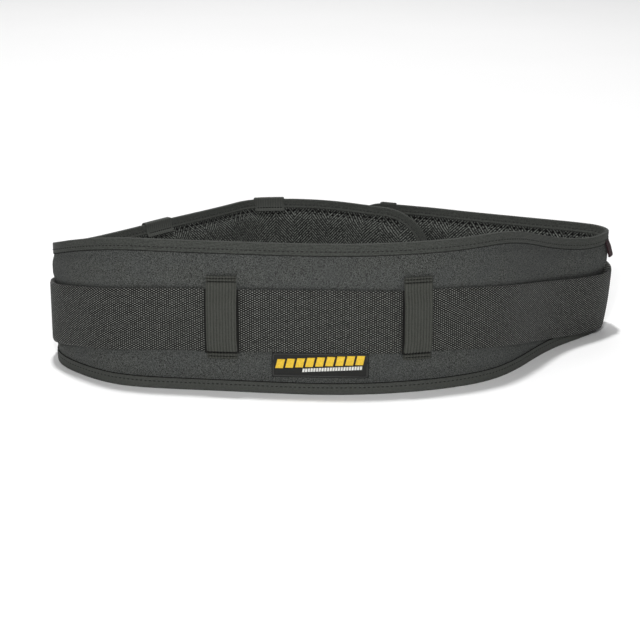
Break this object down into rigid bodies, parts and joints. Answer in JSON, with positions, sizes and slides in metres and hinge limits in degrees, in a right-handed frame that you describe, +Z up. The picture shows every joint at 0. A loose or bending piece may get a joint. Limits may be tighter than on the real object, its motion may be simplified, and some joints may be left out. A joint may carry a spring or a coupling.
{
  "type": "padded utility belt",
  "caption": "Padded waist belt with mesh lining, bound edges and a webbing band held by keeper loops, fastened as a standing loop.",
  "frame": {"origin": "on the floor, under the middle of the belt's box", "axes": "+Z up, -Y out of the front of the lumbar part with its label, +X to the right as seen from the front"},
  "size_m": [0.4736, 0.3016, 0.1207],
  "materials": {
    "outer_cloth": "matt charcoal knit face over foam",
    "air_mesh": "black open mesh",
    "binding_tape": "matt woven tape",
    "band_webbing": "coarse ribbed webbing",
    "keeper_webbing": "fine ribbed webbing",
    "label_rubber": "satin moulded patch",
    "tab_fabric": "matt woven tape",
    "buckle_plastic": "satin moulded plastic"
  },
  "bodies": {
    "root": {"padded_body": "outer_cloth", "mesh_lining": "air_mesh", "edge_binding": "binding_tape", "binding_join": "binding_tape", "web_band": "band_webbing", "keeper_left": "keeper_webbing", "keeper_right": "keeper_webbing", "end_keeper_1": "keeper_webbing", "end_keeper_2": "keeper_webbing", "label_patch": "label_rubber", "side_tab": "tab_fabric", "web_buckle": "buckle_plastic"}
  },
  "joints": []
}
